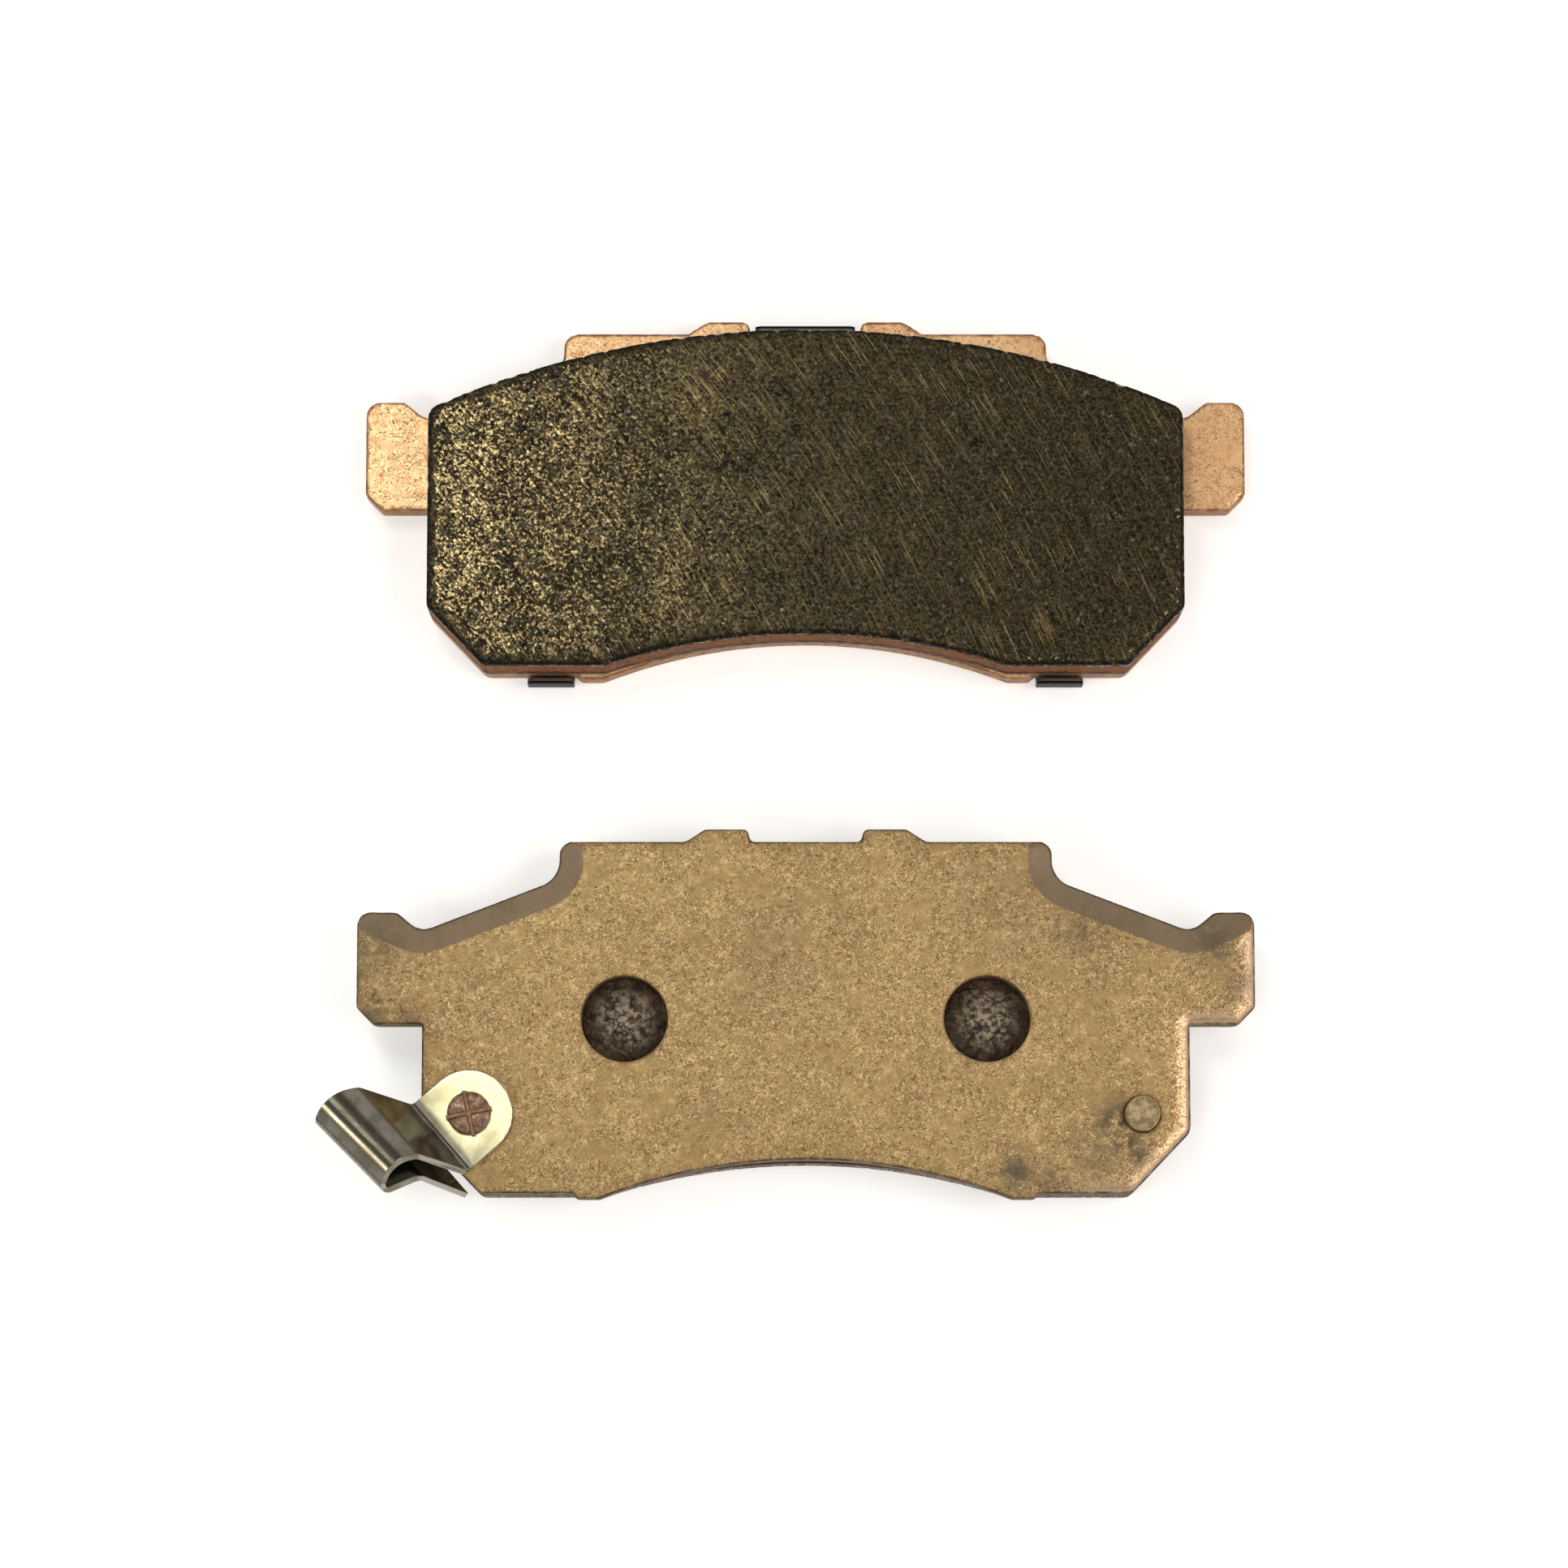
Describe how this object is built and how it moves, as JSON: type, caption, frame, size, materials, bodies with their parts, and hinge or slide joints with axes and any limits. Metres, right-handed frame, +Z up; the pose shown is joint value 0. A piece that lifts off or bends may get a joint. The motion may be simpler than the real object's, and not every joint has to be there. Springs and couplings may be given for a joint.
{
  "type": "disc brake pad set",
  "caption": "Pair of disc brake pads laid flat: the inner pad shows its bronze-coated back with a riveted wear indicator, the outer pad its dark lining over a clip-on shim.",
  "frame": {"origin": "middle of the inner pad's friction face, on the bench that the set lies on", "axes": "+X along the pads to the right as seen from above, +Y from the inner pad towards the outer pad, +Z up from the bench"},
  "size_m": [0.1328, 0.1283, 0.0244],
  "materials": {
    "inner_plate_coat": "satin",
    "outer_plate_coat": "satin",
    "lining": "matte",
    "underlayer": "matte",
    "spring_steel": "gloss",
    "rivet_coat": "satin",
    "shim_coat": "matte"
  },
  "bodies": {
    "inner_pad": {"inner_backing_plate": "inner_plate_coat", "inner_underlayer": "underlayer", "inner_friction_block": "lining", "wear_indicator": "spring_steel", "wear_indicator_rivet": "rivet_coat", "spare_stud": "inner_plate_coat"},
    "outer_shim": {"outer_shim": "shim_coat"},
    "outer_pad": {"outer_backing_plate": "outer_plate_coat", "outer_underlayer": "underlayer", "outer_friction_block": "lining"}
  },
  "joints": [
    {"name": "outer_shim_on_bench", "type": "slide", "parent": "inner_pad", "child": "outer_shim", "axis": [0, 1, 0], "range_m": [0, 0.04]},
    {"name": "outer_pad_out_of_shim", "type": "slide", "parent": "outer_shim", "child": "outer_pad", "axis": [0, 0, 1], "range_m": [0, 0.012]}
  ]
}
